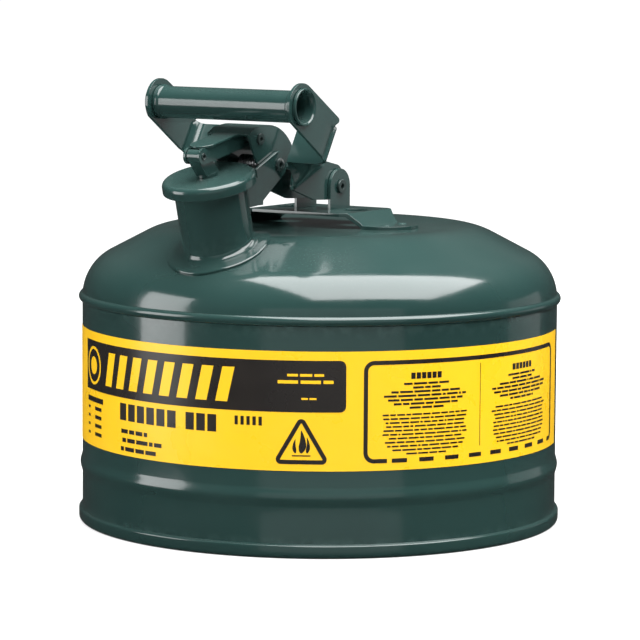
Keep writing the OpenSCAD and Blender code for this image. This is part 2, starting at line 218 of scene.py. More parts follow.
# Orange peel: broad soft waves of levelled enamel with finer ones on top, as a height.
peel, peel_in, peel_out = group(
    "orange_peel",
    [("Vector", "NodeSocketVector", None), ("Scale", "NodeSocketFloat", 500.0)],
    [("Height", "NodeSocketFloat")],
)
broad = noise(peel, peel_in.outputs["Vector"], math(peel, "MULTIPLY", peel_in.outputs["Scale"], 0.22))
fine = noise(peel, peel_in.outputs["Vector"], peel_in.outputs["Scale"], 1.0)
peel.links.new(
    math(peel, "ADD", math(peel, "MULTIPLY", broad, 0.8), math(peel, "MULTIPLY", fine, 0.2)),
    peel_out.inputs["Height"],
)

# Edge wear and painted edge highlight: paint pulls thin on convex edges, and the enamel paints its edges in a
# lit green; broken up by noise, as a mask.
wear_and_highlight, wear_and_highlight_in, wear_and_highlight_out = group(
    "edge_wear_and_highlight",
    [("Vector", "NodeSocketVector", None), ("Scale", "NodeSocketFloat", 120.0),
     ("Start", "NodeSocketFloat", 0.53)],
    [("Mask", "NodeSocketFloat")],
)
bend = wear_and_highlight.nodes.new("ShaderNodeNewGeometry").outputs["Pointiness"]
convex_mask = span(wear_and_highlight, bend, wear_and_highlight_in.outputs["Start"], 0.62)
broken = span(wear_and_highlight, noise(wear_and_highlight, wear_and_highlight_in.outputs["Vector"], wear_and_highlight_in.outputs["Scale"], 4.0), 0.35, 0.7)
wear_and_highlight.links.new(math(wear_and_highlight, "MULTIPLY", convex_mask, broken), wear_and_highlight_out.inputs["Mask"])

# Painted top light: fine specks and a soft film on faces turned upward, as a mask that pales them.
painted_top_light, painted_top_light_in, painted_top_light_out = group(
    "painted_top_light",
    [("Vector", "NodeSocketVector", None), ("Amount", "NodeSocketFloat", 0.3)],
    [("Mask", "NodeSocketFloat")],
)
split = painted_top_light.nodes.new("ShaderNodeSeparateXYZ")
painted_top_light.links.new(painted_top_light.nodes.new("ShaderNodeNewGeometry").outputs["Normal"], split.inputs[0])
upward = span(painted_top_light, split.outputs["Z"], 0.3, 1.0)
specks = span(painted_top_light, noise(painted_top_light, painted_top_light_in.outputs["Vector"], 900.0, 3.0, 0.7), 0.58, 0.74)
film = span(painted_top_light, noise(painted_top_light, painted_top_light_in.outputs["Vector"], 14.0, 3.0), 0.3, 0.8, 0.15, 0.5)
painted_top_light.links.new(
    math(painted_top_light, "MULTIPLY", math(painted_top_light, "MULTIPLY", upward, painted_top_light_in.outputs["Amount"]),
         math(painted_top_light, "ADD", math(painted_top_light, "MULTIPLY", specks, 0.6), film), clamp=True),
    painted_top_light_out.inputs["Mask"],
)


def place_group(tree, which, **values):
    """Puts a shader group into a material on Object coordinates and sets its inputs by name."""
    n = tree.nodes.new("ShaderNodeGroup")
    n.node_tree = which
    coords = tree.nodes.get("coords") or tree.nodes.new("ShaderNodeTexCoord")
    coords.name = "coords"
    tree.links.new(coords.outputs["Object"], n.inputs["Vector"])
    for k, v in values.items():
        n.inputs[k].default_value = v
    return n.outputs[0]


def object_vector(tree):
    coords = tree.nodes.get("coords") or tree.nodes.new("ShaderNodeTexCoord")
    coords.name = "coords"
    return coords.outputs["Object"]


def finish_named(name):
    """A new material and its tree, Principled shader included."""
    m = bpy.data.materials.new(name)
    m.use_nodes = True
    return m, m.node_tree, m.node_tree.nodes["Principled BSDF"]


def bump(tree, shader, height, depth, distance=0.001):
    """Feeds a height to the shader's normal through a Bump node."""
    n = tree.nodes.new("ShaderNodeBump")
    n.inputs["Strength"].default_value = depth
    n.inputs["Distance"].default_value = distance
    tree.links.new(height, n.inputs["Height"])
    tree.links.new(n.outputs["Normal"], shader.inputs["Normal"])


def enamel(name, deep, light, peel_depth=0.07, gloss=0.13):
    """Green enamel: two close greens drift over the surface, edges are a little paler where the paint thins
    and as a painted highlight, and faces turned up are painted paler and duller as light from above."""
    m, tree, shader = finish_named(name)
    vector = object_vector(tree)
    drift = span(tree, noise(tree, vector, 9.0, 3.0), 0.3, 0.7)
    paint = blend_colors(tree, drift, deep, light)
    # Convex edges are painted a lit green (0.07, 0.13, 0.12): a painted highlight on the edges, along with
    # the paint's thinning there.
    wear_and_highlight_mask = place_group(tree, wear_and_highlight, Scale=160.0, Start=0.54)
    paint = blend_colors(tree, math(tree, "MULTIPLY", wear_and_highlight_mask, 0.3), paint, (0.07, 0.13, 0.12))
    # Faces turned up are painted a paler grey and made rougher: painted light from above.
    top_light_mask = place_group(tree, painted_top_light, Amount=0.08)
    paint = blend_colors(tree, top_light_mask, paint, (0.35, 0.36, 0.34))
    tree.links.new(paint, shader.inputs["Base Color"])
    smear = span(tree, noise(tree, vector, 26.0, 4.0, 0.6), 0.3, 0.75, gloss, gloss + 0.07)
    tree.links.new(math(tree, "ADD", smear, math(tree, "MULTIPLY", top_light_mask, 0.5)), shader.inputs["Roughness"])
    shader.inputs["Coat Weight"].default_value = 0.35
    shader.inputs["Coat Roughness"].default_value = 0.07
    shader.inputs["IOR"].default_value = 1.52
    bump(tree, shader, place_group(tree, peel, Scale=420.0), peel_depth)
    return m


green = enamel("green_enamel", (0.0135, 0.0365, 0.0335), (0.0165, 0.0425, 0.0385))


def dress(obj, material, body, slot, *replaced):
    """Gives a piece its material and body, and hides the CAD nodes that it stands for. The slot is not used.
    """
    obj.data.materials.clear()
    obj.data.materials.append(material)
    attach(obj, body)
    if replaced:
        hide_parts(*replaced)
    return obj


def wall_radius(z):
    """Radius of the wall: the body's, plus a raised-cosine swell over the rib."""
    swell = np.clip((z - rib_z) / rib_half, -1, 1)
    return body_r + rib_rise * (0.5 + 0.5 * np.cos(pi * swell)) ** 0.8


z = np.concatenate([
    np.linspace(seam_lo.z, rib_z - rib_half, 4), np.linspace(rib_z - rib_half, rib_z + rib_half, 25)[1:-1],
    np.linspace(rib_z + rib_half, seam_hi.z, 8),
])
outer = np.stack([wall_radius(z), z], 1)
shell = make("body_wall", [lathe(np.concatenate([outer, (outer - [sheet_t, 0])[::-1]]))])
dress(shell, green, "can", "green_paint", "body_shell")


# ---------- bottom pan ----------
# A pressed pan closes the foot. Its rim is rolled together with the wall into a round seam,
# and the can stands on that roll.

pan_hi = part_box("bottom_pan")[1]
foot_r = pan_hi.x
pan_up = 7 * mm
foot_top = pan_hi.z
pan = rounded([
    (0, pan_up + sheet_t, 0), (0, pan_up, 0),
    (foot_r - 7.2 * mm, pan_up, 1.5 * mm), (foot_r - 7.2 * mm, 3 * mm, 0), (foot_r - 6 * mm, 0, 2.6 * mm),
    (foot_r, 0, 2.9 * mm), (foot_r, foot_top - 0.9 * mm, 1.1 * mm),
    (body_r + 0.1 * mm, foot_top, 0.6 * mm), (body_r - sheet_t, foot_top, 0),
    (foot_r - 5.6 * mm, foot_top - 2 * mm, 1 * mm), (foot_r - 5.6 * mm, pan_up + sheet_t, 0.8 * mm),
], 8)
dress(make("foot_pan", [lathe(pan)]), green, "can", "green_paint", "bottom_pan")


# ---------- top dome ----------
# The dome is spun from sheet: a round shoulder, a cone and a flat crown, rolled to the wall in
# a bead. A hole under the spout lets the fuel through.

dome_lo, dome_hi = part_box("top_dome")
top_z = dome_hi.z
bead_h = 6 * mm
seam_z = dome_lo.z + bead_h / 2
bead_r = dome_hi.x
shoulder_r = 31 * mm
crown_r = 45 * mm
slope = radians(27.7)


def dome_line(grow=0.0):
    """(radius, height) points from the seam to the axis: an arc from upright to the cone's slope,
    the cone, and an arc from the cone to flat; grow moves the line outward."""
    steep = pi / 2 - slope
    c1 = np.array([body_r - shoulder_r, seam_z])
    t1 = c1 + shoulder_r * np.array([sin(slope), cos(slope)])
    rise = top_z - crown_r + crown_r * cos(slope) - t1[1]
    c2 = np.array([t1[0] - crown_r * sin(slope) - rise / tan(slope), top_z - crown_r])
    a = np.linspace(0, steep, 26)[:, None]
    b = np.linspace(steep, pi / 2, 14)[:, None]
    first = c1 + (shoulder_r + grow) * np.concatenate([np.cos(a), np.sin(a)], 1)
    last = c2 + (crown_r + grow) * np.concatenate([np.cos(b), np.sin(b)], 1)
    cone = first[-1] + (last[0] - first[-1]) * np.linspace(0, 1, 8)[1:-1, None]
    flat = np.stack([np.linspace(last[-1, 0], 0, 8)[1:], np.full(7, top_z + grow)], 1)
    return np.concatenate([first, cone, last, flat])


a = np.linspace(-pi / 2, pi / 2, 15)[:, None]
roll = bead_h / 2
bead = np.array([bead_r - roll, seam_z]) + roll * np.concatenate([np.cos(a), np.sin(a)], 1)
groove = np.array([[body_r + 0.35 * mm, seam_z + roll - 0.1 * mm], [body_r + 0.02 * mm, seam_z + 2.2 * mm]])
over = dome_line()
over = over[over[:, 1] > seam_z + 3.2 * mm]
under = dome_line(-sheet_t)
dome = make("dome", [lathe(np.concatenate([
    [[body_r - sheet_t, seam_z - roll]], bead, groove, over, under[::-1],
]))])

spout_lean = radians(15)
swivel = next(j for j in frame["joints"] if j["name"] == "cap_swivel")
mouth = Vector(swivel["pos_m"])
at_mouth = Matrix.Translation(mouth) @ Matrix.Rotation(spout_lean, 4, "X")
tube_r = 21.5 * mm
bore_r = tube_r - 1.2 * mm
cutter = make("cutter", [lathe([(0, -80 * mm), (bore_r, -80 * mm), (bore_r, 0), (0, 0)], 96, at_mouth)])
cut = dome.modifiers.new("hole", "BOOLEAN")
cut.operation = "DIFFERENCE"
cut.object = cutter
bake(dome)
bpy.data.objects.remove(cutter)
dress(dome, green, "can", "green_paint", "top_dome")


# ---------- spout ----------
# A short leaning tube with a rolled lip carries the seal. A pressed collar is welded round its
# foot and spreads the load over the dome.

lip_r = 1.6 * mm
turns = 128
line = dome_line()[::-1]


def dome_height(r):
    """Height of the dome's outer face at a radius."""
    return np.interp(r, line[:, 0], line[:, 1])


def on_dome(angle, rho):
    """Where lines parallel to the spout, at radius rho and the angle about its axis, meet the dome,
    and the dome's normal there. Each line's length is halved in on forty times."""
    m = np.array(at_mouth)
    start = np.stack([rho * np.cos(angle), rho * np.sin(angle), 0 * angle * rho], -1) @ m[:3, :3].T + m[:3, 3]
    axis = m[:3, 2]
    low, high = np.zeros(start.shape[:-1]), np.full(start.shape[:-1], 0.12)
    for _ in range(40):
        mid = (low + high) / 2
        p = start - mid[..., None] * axis
        above = p[..., 2] > dome_height(np.hypot(p[..., 0], p[..., 1]))
        low, high = np.where(above, mid, low), np.where(above, high, mid)
    p = start - low[..., None] * axis
    r = np.hypot(p[..., 0], p[..., 1])
    step = 0.5 * mm
    fall = (dome_height(r - step) - dome_height(r + step)) / (2 * step)
    normal = np.stack([fall * p[..., 0] / r, fall * p[..., 1] / r, np.ones_like(r)], -1)
    return p, normal / np.linalg.norm(normal, axis=-1, keepdims=True), axis


t = np.linspace(0, 2 * pi, turns, endpoint=False)[:, None]
a = np.linspace(radians(195), radians(-40), 14)
mid_r = tube_r - 1.2 * mm + lip_r
lip = np.stack([mid_r + lip_r * np.cos(a), -lip_r + lip_r * np.sin(a)], 1)
lip[-1, 0] = tube_r
walls = np.concatenate([[[bore_r, -12 * mm]], lip, [[tube_r, -5 * mm], [tube_r, -16 * mm]]])
m = np.array(at_mouth)
upper = np.stack([walls[:, 0] * np.cos(t), walls[:, 0] * np.sin(t), walls[:, 1] + 0 * t], -1)
upper = upper @ m[:3, :3].T + m[:3, 3]
outside = on_dome(t, np.full((1, 1), tube_r))[0]
inside = on_dome(t, np.full((1, 1), bore_r))[0]
tube = np.concatenate([inside, upper, outside, inside], 1)
dress(make("spout", [grid(tube, around=True)]), green, "can", "green_paint", "spout_tube")

# (distance from the tube's axis, height over the dome) from the weld fillet to the outer edge
flange = np.array([
    (0, -0.4), (0, 5.2), (0.35, 3.9), (1.1, 2.9), (2.4, 2.2), (4.2, 1.85), (8.3, 1.8), (8.95, 1.65),
    (9.35, 1.25), (9.5, 0.6), (9.5, -0.4),
]) * mm
rho = tube_r + flange[None, :, 0]
base, normal, axis = on_dome(t, rho)
toward_axis = np.clip(1 - flange[:, 0] / (3 * mm), 0, 1)[None, :, None]
lift = normal * (1 - toward_axis) + axis * toward_axis
collar = base + flange[None, :, 1:] * lift
collar = np.concatenate([collar, collar[:, :1]], 1)
dress(make("weld_collar", [grid(collar, around=True)]), green, "can", "green_paint", "spout_collar")


# ---------- flame screens ----------
# Two baskets of fine brass wire hang in the spout one inside the other and keep a flame out of
# the can. A steel ring holds them under the lip.

def weave(name, wire, pitch):
    """Woven wire on a UV map in metres: each wire is a rounded wave across U or V, and where
    neither wire passes the sheet is open."""
    m, tree, shader = finish_named(name)
    uv = tree.nodes.new("ShaderNodeUVMap")
    uv.uv_map = "weave"
    parts = tree.nodes.new("ShaderNodeSeparateXYZ")
    tree.links.new(uv.outputs["UV"], parts.inputs[0])
    waves = []
    for out in (parts.outputs["X"], parts.outputs["Y"]):
        phase = math(tree, "FRACT", math(tree, "DIVIDE", out, pitch))
        waves.append(math(tree, "SUBTRACT", 1.0, math(tree, "MULTIPLY", math(
            tree, "ABSOLUTE", math(tree, "SUBTRACT", phase, 0.5)), 2.0)))
    height = math(tree, "MAXIMUM", waves[0], waves[1])
    solid = span(tree, height, 0.40, 0.48)
    tarnish = span(tree, noise(tree, object_vector(tree), 60.0, 4.0), 0.35, 0.7)
    tree.links.new(blend_colors(tree, tarnish, wire, (0.30, 0.22, 0.10)), shader.inputs["Base Color"])
    tree.links.new(solid, shader.inputs["Alpha"])
    tree.links.new(span(tree, height, 0.3, 1.0, 0.55, 0.28), shader.inputs["Roughness"])
    shader.inputs["Metallic"].default_value = 1.0
    bump(tree, shader, height, 0.6, 0.0003)
    return m


brass_weave = weave("brass_weave", (0.62, 0.46, 0.20), 1.1 * mm)


def basket(name, node, radius, depth):
    """A tube with a closed round end: radius constant down the wall, a small arc, then in to the
    axis. U is the arc length about the axis and V the length along the section."""
    fillet = 3 * mm
    a = np.linspace(0, pi / 2, 7)
    wall = [(radius, -4.2 * mm)] + [(radius, -4.2 * mm - k * (depth - 8 * mm) / 6) for k in range(1, 7)]
    turn = np.stack([radius - fillet + fillet * np.cos(a), fillet - depth - fillet * np.sin(a)], 1)
    floor_r = np.linspace(radius - fillet, 0.4 * mm, 6)[1:]
    section = np.concatenate([wall, turn, np.stack([floor_r, np.full(5, -depth)], 1)])
    t = np.linspace(0, 2 * pi, 65)[:, None]
    m = np.array(at_mouth)
    r, h = section[None, :, 0], section[None, :, 1]
    points = np.stack([r * np.cos(t), r * np.sin(t), h + 0 * t], -1) @ m[:3, :3].T + m[:3, 3]
    verts, faces = grid(points)
    mesh = bpy.data.meshes.new(name)
    mesh.from_pydata(verts.tolist(), [], faces.tolist())
    run = np.concatenate([[0], np.cumsum(np.hypot(*np.diff(section, axis=0).T))])
    uv = np.stack(np.broadcast_arrays(radius * t, run[None, :]), -1).reshape(-1, 2)
    layer = mesh.uv_layers.new(name="weave")
    corner = np.empty(len(mesh.loops), np.int32)
    mesh.loops.foreach_get("vertex_index", corner)
    layer.data.foreach_set("uv", uv[corner].ravel())
    obj = bpy.data.objects.new(name, mesh)
    bpy.context.scene.collection.objects.link(obj)
    thick = obj.modifiers.new("wire", "SOLIDIFY")
    thick.thickness = 0.35 * mm
    bake(obj)
    return dress(obj, brass_weave, "can", "screen_mesh", node)


basket("outer_basket", "outer_screen", bore_r - 0.8 * mm, 78 * mm)
basket("inner_basket", "inner_screen", bore_r - 2.2 * mm, 75 * mm)


def metal(name, color, shade, rough, grain, scale=260.0, metallic=1.0):
    """Bare or dark steel: a cloudy drift between two shades, fine scratches in the roughness and
    a little edge wear."""
    m, tree, shader = finish_named(name)
    vector = object_vector(tree)
    cloud = span(tree, noise(tree, vector, 70.0, 4.0, 0.6), 0.3, 0.7)
    tone = blend_colors(tree, cloud, color, shade)
    wear_and_highlight_mask = place_group(tree, wear_and_highlight, Scale=300.0, Start=0.53)
    tone = blend_colors(tree, math(tree, "MULTIPLY", wear_and_highlight_mask, 0.4), tone, (0.6, 0.6, 0.6))
    tree.links.new(tone, shader.inputs["Base Color"])
    scratch = noise(tree, vector, scale * 4, 5.0, 0.75)
    tree.links.new(span(tree, scratch, 0.3, 0.75, rough, rough + grain), shader.inputs["Roughness"])
    shader.inputs["Metallic"].default_value = metallic
    bump(tree, shader, scratch, 0.12, 0.0002)
    return m


bright_steel = metal("bright_steel", (0.55, 0.56, 0.57), (0.42, 0.43, 0.44), 0.22, 0.2)
pin_steel = metal("painted_pin", (0.02, 0.035, 0.033), (0.035, 0.05, 0.048), 0.14, 0.12, metallic=0.25)


def soft_copy(name, node, width, material, body, slot, segments=3, crease=28):
    """A CAD node's own form with every edge sharper than crease rounded: its loose triangles are
    merged, flat neighbours are joined, and a bevel of the given width runs along what is left."""
    mesh = nodes[node].data.copy()
    bm = bmesh.new()
    bm.from_mesh(mesh)
    bmesh.ops.remove_doubles(bm, verts=bm.verts, dist=5e-6)
    bmesh.ops.dissolve_limit(bm, angle_limit=radians(1.5), verts=bm.verts, edges=bm.edges)
    bm.to_mesh(mesh)
    bm.free()
    obj = bpy.data.objects.new(name, mesh)
    bpy.context.scene.collection.objects.link(obj)
    soften(obj, crease)
    edge = obj.modifiers.new("edge", "BEVEL")
    edge.width = width
    edge.segments = segments
    edge.limit_method = "ANGLE"
    edge.angle_limit = radians(crease)
    edge.harden_normals = True
    edge.use_clamp_overlap = True
    return dress(obj, material, body, slot, node)


soft_copy("screen_holder", "screen_ring", 0.4 * mm, bright_steel, "can", "bare_steel")


# ---------- label ----------
# A band of yellow film is wrapped round most of the body and printed in black. Its marks are
# plain shapes: bars stand for lines of print and a triangle with a flame for the hazard.

film_r = body_r + 0.2 * mm
ink_r = film_r + 0.05 * mm
label_from, label_to = radians(-141.5), radians(22.5)
label_low, label_high = label_lo.z, label_hi.z


def wrapped(name, patches, radius, thick, material, slot, *replaced):
    """Flat patches of (distance, height) points laid round the can: the angle is the distance
    over the body's radius. Each patch becomes a film of the given thickness."""
    grids = []
    for p in patches:
        p = np.asarray(p, float)
        a = p[..., 0] / body_r
        grids.append(grid(np.stack([radius * np.cos(a), radius * np.sin(a), p[..., 1]], -1)))
    obj = make(name, grids, closed=False)
    film = obj.modifiers.new("film", "SOLIDIFY")
    film.thickness = thick
    film.offset = 1.0
    bake(obj, 40)
    return dress(obj, material, "can", slot, *replaced)


def column_patch(s0, s1, low, high, step=2.4 * mm):
    """The area between two curves of height over a distance s0..s1, in columns no wider than step."""
    s = np.linspace(s0, s1, max(2, int(abs(s1 - s0) / step) + 2))
    return np.stack([np.stack([s, low(s)], -1), np.stack([s, high(s)], -1)], 1)


def bar(s0, s1, z0, z1, lean=0.0):
    """A straight bar; lean shifts its top edge along the band."""
    p = column_patch(s0, s1, lambda s: 0 * s + z0, lambda s: 0 * s + z1)
    if lean:
        v = np.linspace(0, 1, 9)[None, :, None]
        p = p[:, :1] * (1 - v) + (p[:, 1:] + [lean, 0]) * v
    return p


def stroke(path, width, closed=False):
    """A line of constant width along a path: each point moves half the width to both sides along
    the normal, which is the path's own direction turned a quarter."""
    path = np.asarray(path, float)
    d = np.roll(path, -1, 0) - np.roll(path, 1, 0) if closed else np.gradient(path, axis=0)
    d /= np.linalg.norm(d, axis=1, keepdims=True)
    side = np.stack([d[:, 1], -d[:, 0]], 1) * width / 2
    band = np.stack([path + side, path - side], 1)
    return np.concatenate([band, band[:1]]) if closed else band


def dense(outline, step=2 * mm, closed=True):
    """The outline with extra points so that no side is longer than step."""
    pts = np.asarray(outline, float)
    ends = np.roll(pts, -1, 0) if closed else pts[1:]
    out = []
    for p, q in zip(pts, ends):
        n = max(1, int(np.hypot(*(q - p)) / step + 0.999))
        out.append(p + (q - p) * np.linspace(0, 1, n, endpoint=False)[:, None])
    return np.concatenate(out if closed else out + [pts[-1:]])


def arc_at(deg):
    """Distance along the band of an angle about the can, in degrees."""
    return radians(deg) * body_r


def film_finish(name, color, second, rough, peel_depth):
    """Printed film: two close tones drift, the gloss varies, and it follows the wall's waves."""
    m, tree, shader = finish_named(name)
    vector = object_vector(tree)
    tone = blend_colors(tree, span(tree, noise(tree, vector, 22.0, 3.0), 0.3, 0.7), color, second)
    # Faces turned up are painted paler: painted light from above, through the same mask.
    top_light_mask = place_group(tree, painted_top_light, Amount=0.06)
    tree.links.new(blend_colors(tree, top_light_mask, tone, (0.5, 0.48, 0.42)), shader.inputs["Base Color"])
    tree.links.new(span(tree, noise(tree, vector, 45.0, 4.0), 0.3, 0.75, rough, rough + 0.1),
                   shader.inputs["Roughness"])
    bump(tree, shader, place_group(tree, peel, Scale=300.0), peel_depth)
    return m


yellow = film_finish("yellow_film", (0.90, 0.515, 0.006), (0.92, 0.53, 0.007), 0.26, 0.05)
ink = film_finish("black_ink", (0.012, 0.010, 0.009), (0.018, 0.015, 0.013), 0.24, 0.05)

band = column_patch(label_from * body_r, label_to * body_r,
                    lambda s: 0 * s + label_low, lambda s: 0 * s + label_high)
wrapped("label_film", [band], body_r + 0.02 * mm, film_r - body_r - 0.02 * mm, yellow,
        "label_film", "label_band")

# black banner, square on the left and rounded on the right
banner_low, banner_high = label_low + 34.5 * mm, label_high - 5.3 * mm
banner_from, banner_to, banner_corner = arc_at(-130), arc_at(-50.4), 3.6 * mm


def banner_inset(s):
    """How far the banner's edge draws in near its right end: a quarter circle."""
    d = np.clip(s - (banner_to - banner_corner), 0, banner_corner)
    return banner_corner - np.sqrt(np.maximum(banner_corner ** 2 - d ** 2, 0))


flat_part = column_patch(banner_from, banner_to - banner_corner,
                         lambda s: 0 * s + banner_low, lambda s: 0 * s + banner_high)
round_part = column_patch(banner_to - banner_corner, banner_to, lambda s: banner_low + banner_inset(s),
                          lambda s: banner_high - banner_inset(s) - 1e-6, 0.25 * mm)
wrapped("label_banner", [flat_part, round_part], ink_r, 0.04 * mm, ink, "label_film")

# yellow marks on the banner: a ring with a dot, eight leaning bars and lines of fine print
banner_mid = (banner_low + banner_high) / 2
t = np.linspace(0, 2 * pi, 72, endpoint=False)
ring_at = arc_at(-124.4)
ring_r = 10.8 * mm
ring = stroke(np.stack([ring_at + ring_r * np.cos(t), banner_mid + ring_r * np.sin(t)], 1), 1.7 * mm, True)
t = np.linspace(0, 2 * pi, 41)[:, None]
rho = np.array([[0.05, 1.0]]) * 5.4 * mm
dot = np.stack([ring_at + rho * np.cos(t), banner_mid + rho * np.sin(t)], -1)[:, ::-1]
first_bar, last_bar, bars = arc_at(-117.2), arc_at(-75.6), 8
bar_pitch = (last_bar - first_bar) / bars
chevrons = [bar(first_bar + k * bar_pitch, first_bar + k * bar_pitch + 7.6 * mm, banner_mid - 10.2 * mm,
                banner_mid + 10.2 * mm, 4.6 * mm) for k in range(bars)]

rng = np.random.default_rng(7)


def word_line(centre, z_mid, length, height, word=4.2, space=0.8):
    """A line of print as short bars: word lengths are drawn about a mean, in letter heights, and
    the line is centred."""
    words = np.clip(rng.normal(word, word * 0.4, 40), 1.2, word * 2) * height
    ends = np.cumsum(words + space * height)
    n = max(1, int(np.searchsorted(ends, length)))
    total = ends[n - 1] - space * height
    starts = np.concatenate([[0], ends[:n - 1]]) + centre - total / 2
    return [bar(s, s + w, z_mid - height / 2, z_mid + height / 2) for s, w in zip(starts, words[:n])]


side_note = arc_at(-59.6)
banner_print = (
    word_line(side_note, banner_mid + 6.6 * mm, 24 * mm, 1.5 * mm)
    + word_line(side_note, banner_mid + 2.6 * mm, 34 * mm, 1.9 * mm, 6)
    + word_line(side_note + 2 * mm, banner_mid - 7.2 * mm, 13 * mm, 1.1 * mm)
)
wrapped("banner_marks", [ring, dot, *chevrons, *banner_print], ink_r + 0.035 * mm, 0.03 * mm, yellow,
        "label_film")


# title blocks, capacity lines and the small table under the banner
def block_word(s0, s1, z_mid, height, count, gap_share=0.16):
    """A row of upright blocks that fills s0..s1, with a gap between neighbours."""
    pitch = (s1 - s0) / count
    return [bar(s0 + k * pitch, s0 + (k + 1 - gap_share) * pitch, z_mid - height / 2, z_mid + height / 2)
            for k in range(count)]


title_z = label_low + 26.2 * mm
below = (
    block_word(arc_at(-110.3), arc_at(-90.6), title_z, 10.2 * mm, 6, 0.24)
    + block_word(arc_at(-88.6), arc_at(-79.9), title_z, 10.2 * mm, 3, 0.22)
    + block_word(arc_at(-76.0), arc_at(-68.9), title_z + 2.6 * mm, 5.2 * mm, 5, 0.45)
)
for k, end in enumerate((-99.6, -94.6, -97.0)):
    z_line = label_low + (14.6 - 5.3 * k) * mm
    start, stop = arc_at(-110.3), arc_at(end)
    below += word_line((start + stop) / 2, z_line, stop - start, 2.5 * mm, 2.6, 0.5)
table_from, table_to = arc_at(-129.2), arc_at(-118.6)
below.append(bar(table_from, table_to, label_low + 27.2 * mm, label_low + 30.4 * mm))
for k in range(4):
    z_row = label_low + (23.6 - 5.2 * k) * mm
    below.append(bar(table_from + 1 * mm, table_from + 5 * mm, z_row - 0.8 * mm, z_row + 0.8 * mm))
    below.append(bar(table_to - 13 * mm, table_to - 2.5 * mm, z_row - 1.1 * mm, z_row + 1.1 * mm))
wrapped("label_print", below, ink_r, 0.04 * mm, ink, "label_film")

# hazard sign: a triangle of three rounded sides round a flame over a ground line
sign_at, sign_low, sign_side = arc_at(-60.5), label_low + 5.3 * mm, 29.6 * mm
sign_h = sign_side * sqrt(3) / 2
triangle = rounded([
    (sign_at - sign_side / 2, sign_low, 1.6 * mm), (sign_at + sign_side / 2, sign_low, 1.6 * mm),
    (sign_at, sign_low + sign_h, 1.6 * mm),
], 7)
sign = [stroke(dense(triangle), 2.5 * mm, True)]
flame_h, flame_base = 13.5 * mm, sign_low + 5.2 * mm


def tongue(centre, width, height, bow):
    """One tongue of flame: half width grows as the root of the height and closes to a point,
    and the centre line bows sideways with a sine."""
    v = np.linspace(0, 1, 25)
    half = width * np.sqrt(np.clip(v * 3.2, 0, 1)) * (1 - v) ** 0.75 + 0.02 * mm
    mid = centre + bow * np.sin(pi * v)
    y = flame_base + height * v
    return np.stack([np.stack([mid + half, y], 1), np.stack([mid - half, y], 1)], 1)


sign += [
    tongue(sign_at, 2.9 * mm, flame_h, 0.9 * mm),
    tongue(sign_at - 3.4 * mm, 1.5 * mm, flame_h * 0.62, -0.7 * mm),
    tongue(sign_at + 3.4 * mm, 1.5 * mm, flame_h * 0.7, 0.7 * mm),
    bar(sign_at - 5.4 * mm, sign_at + 5.4 * mm, sign_low + 3.4 * mm, sign_low + 4.1 * mm),
]
wrapped("hazard_sign", sign, ink_r, 0.04 * mm, ink, "label_film")

# framed panel on the right: three solid sides, a dashed foot, a divider and two columns of print
frame_from, frame_to = arc_at(-45.9), arc_at(16.2)
frame_low, frame_high, frame_w = label_low + 5.6 * mm, label_high - 6.8 * mm, 2.5 * mm
corner = 5 * mm
foot_dash = 13.6 * mm
path = rounded([
    (frame_from + foot_dash * 0.95, frame_low, 0), (frame_from, frame_low, corner),
    (frame_from, frame_high, corner), (frame_to, frame_high, corner), (frame_to, frame_low, corner),
    (frame_to - foot_dash * 0.5, frame_low, 0),
], 9)
panel = [stroke(dense(path, closed=False), frame_w)]
dashes = 8
dash_from, dash_to = frame_from + 15.8 * mm, frame_to - 6 * mm
dash_pitch = (dash_to - dash_from) / dashes
panel += [bar(dash_from + k * dash_pitch, dash_from + (k + 0.55) * dash_pitch, frame_low - frame_w / 2,
              frame_low + frame_w / 2) for k in range(dashes)]
panel.append(bar(arc_at(-16.5), arc_at(-16.5) + 0.45 * mm, frame_low + 5 * mm, frame_high - 3.4 * mm))
column_lines = (
    (0.55, 0.40, 0.80, 1.0, 0.95, 0.80, 0.45), (0.98, 1.0, 0.96, 0.9, 0.98, 1.0, 0.97, 1.0, 0.92, 0.85, 0.55),
)
for column_at, column_w, heading in ((-31.2, 58 * mm, 20.5 * mm), (-0.9, 62 * mm, 22 * mm)):
    centre = arc_at(column_at)
    panel += block_word(centre - heading / 2, centre + heading / 2, frame_high - 8.2 * mm, 3.7 * mm, 6, 0.2)
    z_line = frame_high - 12.8 * mm
    for share in column_lines[0]:
        panel += word_line(centre, z_line, column_w * share, 1.25 * mm, 5.2, 0.7)
        z_line -= 2.35 * mm
    z_line -= 1.6 * mm
    for share in column_lines[1]:
        panel += word_line(centre, z_line, column_w * share, 1.0 * mm, 5.0, 0.8)
        z_line -= 2.3 * mm
wrapped("label_panel", panel, ink_r, 0.04 * mm, ink, "label_film")


# ---------- cap ----------
# The cap is a pressed disc with a rolled rim. It turns on a stud, so the gasket under it seats
# flat on the lip; the stud's lug hangs on a cross pin in the lever.

gasket_t = 4.6 * mm
cap_top = 0.1 * mm + gasket_t + 1.2 * mm
cap_r, cap_depth, cap_t, cap_round = 28 * mm, 7.4 * mm, 1.2 * mm, 3.4 * mm
stud_r = 4.05 * mm
cap_low = cap_top - cap_depth
cap = rounded([
    (stud_r, cap_top - cap_t, 0), (cap_r - cap_t, cap_top - cap_t, cap_round - cap_t),
    (cap_r - cap_t, cap_low, 0.55 * mm), (cap_r, cap_low, 0.55 * mm), (cap_r, cap_top, cap_round),
    (stud_r, cap_top, 0),
], 10)
dress(make("cap", [lathe(cap, 160, at_mouth)]), green, "cap", "green_paint", "cap_disc")

